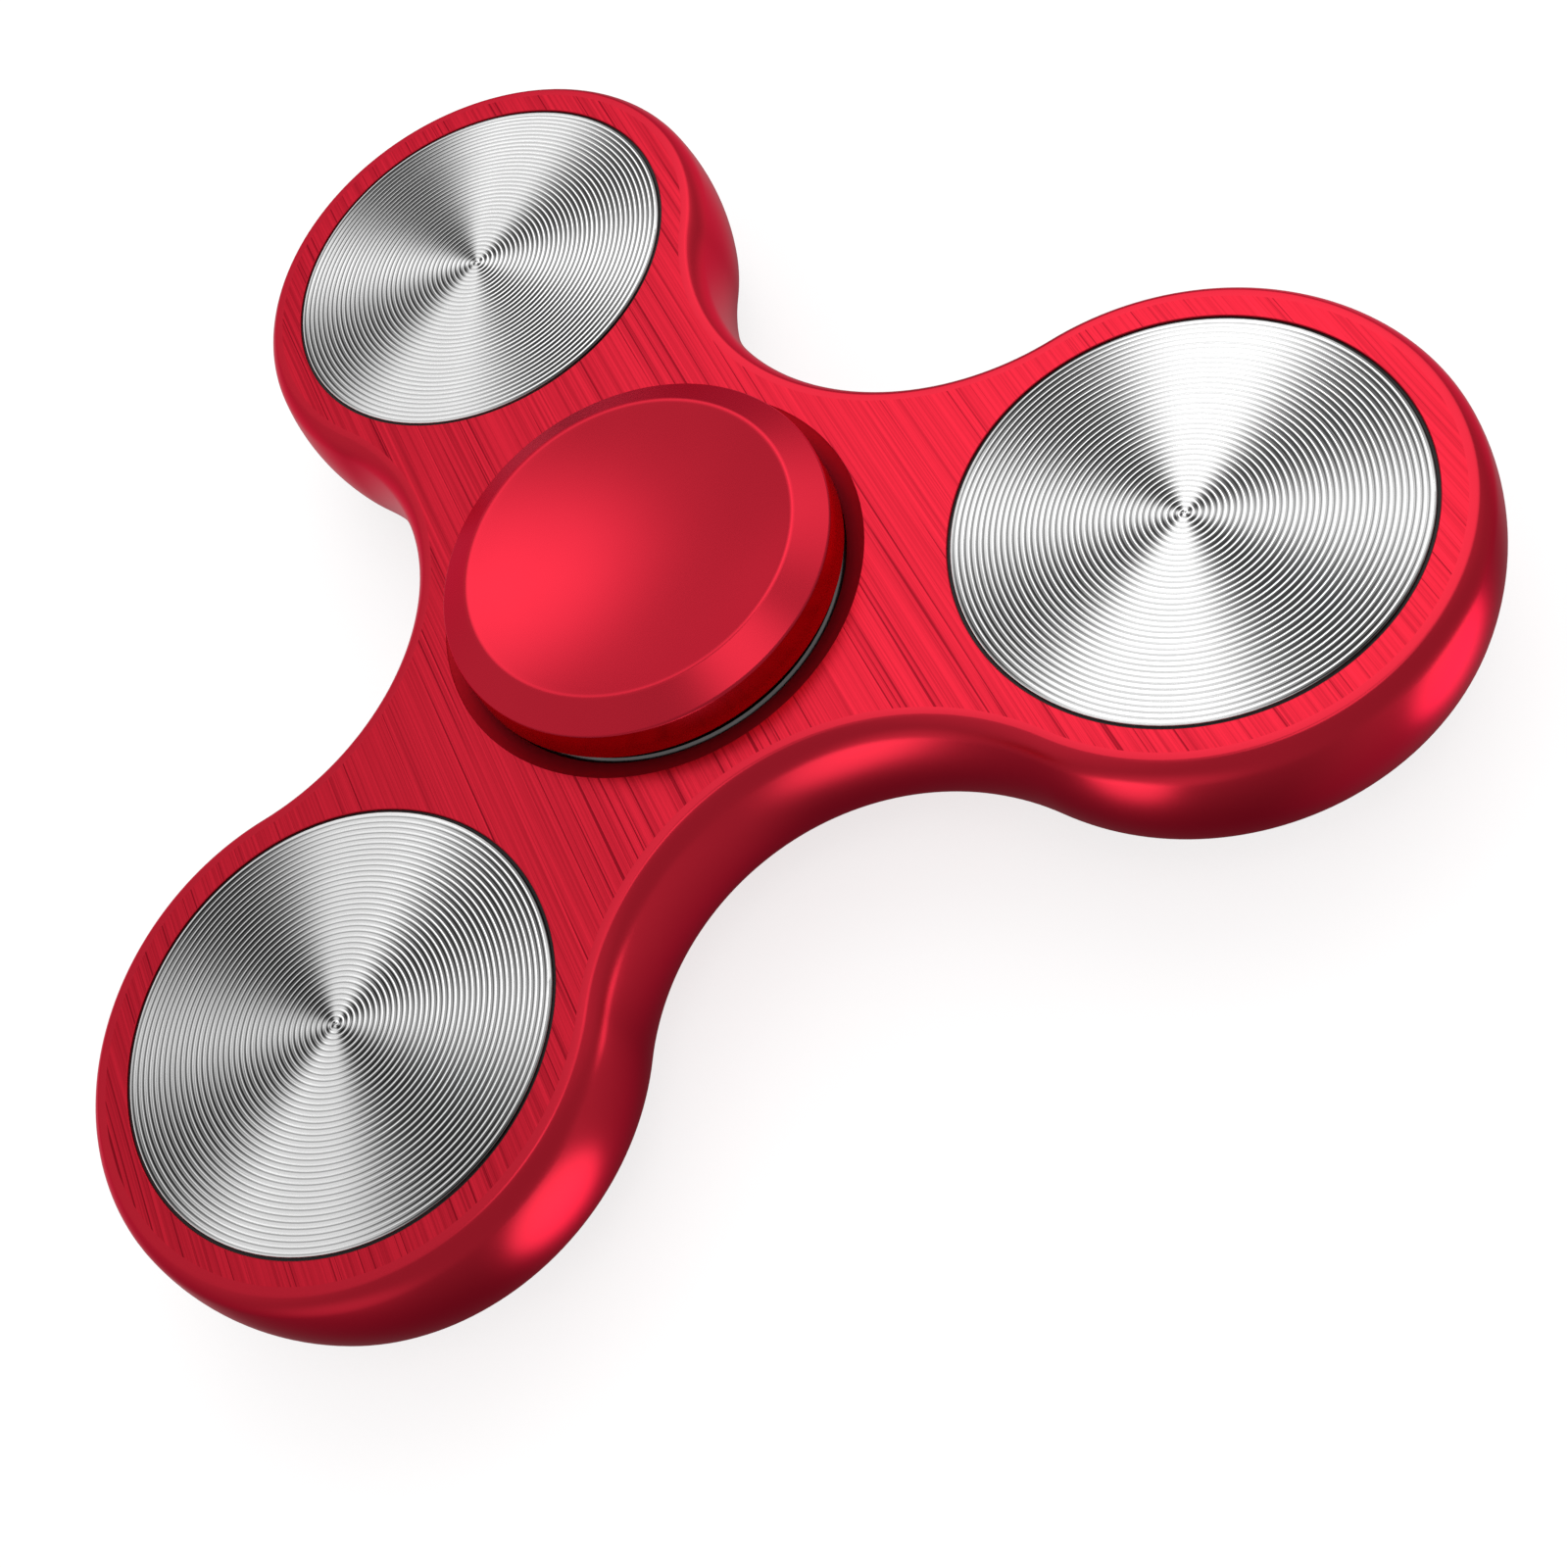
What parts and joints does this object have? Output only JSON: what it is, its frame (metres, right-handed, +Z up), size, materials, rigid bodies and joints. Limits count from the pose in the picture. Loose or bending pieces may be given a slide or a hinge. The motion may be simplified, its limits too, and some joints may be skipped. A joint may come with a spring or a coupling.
{
  "type": "fidget spinner",
  "caption": "Flat tri-lobed hand spinner: a brushed red metal body with turned silver discs in its lobes, free to turn on a ball bearing between two dished finger caps.",
  "frame": {"origin": "on the spin axis, at the middle of the body's thickness", "axes": "+Z up along the spin axis towards the top cap, +X from the spin axis to the middle of lobe 1"},
  "size_m": [0.0731, 0.0798, 0.0148],
  "materials": {
    "anodised_cap": "satin red anodised aluminium, fine turned finish",
    "anodised_body": "red anodised aluminium, brushed faces and satin blasted sides",
    "turned_steel": "stainless steel with a fine turned spiral",
    "black_adhesive": "cured black adhesive",
    "weight_steel": "plain cut steel bar",
    "race_steel": "ground and polished bearing steel",
    "ball_steel": "polished bearing balls",
    "cage_nylon": "natural moulded nylon",
    "seal_rubber": "black nitrile rubber"
  },
  "bodies": {
    "hub": {"top_cap": "anodised_cap", "bottom_cap": "anodised_cap", "bearing_inner_race": "race_steel"},
    "spinner": {"body_frame": "anodised_body", "bearing_outer_race": "race_steel", "bearing_seal_top": "seal_rubber", "bearing_seal_bottom": "seal_rubber", "weight_1": "weight_steel", "weight_2": "weight_steel", "weight_3": "weight_steel", "face_disc_top_1": "turned_steel", "face_disc_top_2": "turned_steel", "face_disc_top_3": "turned_steel", "face_disc_bottom_1": "turned_steel", "face_disc_bottom_2": "turned_steel", "face_disc_bottom_3": "turned_steel", "adhesive_top_1": "black_adhesive", "adhesive_top_2": "black_adhesive", "adhesive_top_3": "black_adhesive", "adhesive_bottom_1": "black_adhesive", "adhesive_bottom_2": "black_adhesive", "adhesive_bottom_3": "black_adhesive"},
    "cage": {"bearing_cage": "cage_nylon"},
    "ball_body_1": {"ball_1": "ball_steel"},
    "ball_body_2": {"ball_2": "ball_steel"},
    "ball_body_3": {"ball_3": "ball_steel"},
    "ball_body_4": {"ball_4": "ball_steel"},
    "ball_body_5": {"ball_5": "ball_steel"},
    "ball_body_6": {"ball_6": "ball_steel"},
    "ball_body_7": {"ball_7": "ball_steel"}
  },
  "joints": [
    {"name": "spinner_spin", "type": "hinge", "parent": "hub", "child": "spinner", "pos_m": [0, 0, 0], "axis": [0, 0, 1], "continuous": true},
    {"name": "cage_orbit", "type": "hinge", "parent": "hub", "child": "cage", "pos_m": [0, 0, 0], "axis": [0, 0, 1], "continuous": true},
    {"name": "ball_1_roll", "type": "hinge", "parent": "cage", "child": "ball_body_1", "pos_m": [0.0075, 0, 0], "axis": [0, 0, 1], "continuous": true},
    {"name": "ball_2_roll", "type": "hinge", "parent": "cage", "child": "ball_body_2", "pos_m": [0.00468, 0.00586, 0], "axis": [0, 0, 1], "continuous": true},
    {"name": "ball_3_roll", "type": "hinge", "parent": "cage", "child": "ball_body_3", "pos_m": [-0.00167, 0.00731, 0], "axis": [0, 0, 1], "continuous": true},
    {"name": "ball_4_roll", "type": "hinge", "parent": "cage", "child": "ball_body_4", "pos_m": [-0.00676, 0.00325, 0], "axis": [0, 0, 1], "continuous": true},
    {"name": "ball_5_roll", "type": "hinge", "parent": "cage", "child": "ball_body_5", "pos_m": [-0.00676, -0.00325, 0], "axis": [0, 0, 1], "continuous": true},
    {"name": "ball_6_roll", "type": "hinge", "parent": "cage", "child": "ball_body_6", "pos_m": [-0.00167, -0.00731, 0], "axis": [0, 0, 1], "continuous": true},
    {"name": "ball_7_roll", "type": "hinge", "parent": "cage", "child": "ball_body_7", "pos_m": [0.00468, -0.00586, 0], "axis": [0, 0, 1], "continuous": true}
  ],
  "couplings": [
    {"joint": "cage_orbit", "follows": "spinner_spin", "ratio": 0.6323},
    {"joint": "ball_1_roll", "follows": "spinner_spin", "ratio": 1.7573},
    {"joint": "ball_2_roll", "follows": "spinner_spin", "ratio": 1.7573},
    {"joint": "ball_3_roll", "follows": "spinner_spin", "ratio": 1.7573},
    {"joint": "ball_4_roll", "follows": "spinner_spin", "ratio": 1.7573},
    {"joint": "ball_5_roll", "follows": "spinner_spin", "ratio": 1.7573},
    {"joint": "ball_6_roll", "follows": "spinner_spin", "ratio": 1.7573},
    {"joint": "ball_7_roll", "follows": "spinner_spin", "ratio": 1.7573}
  ]
}
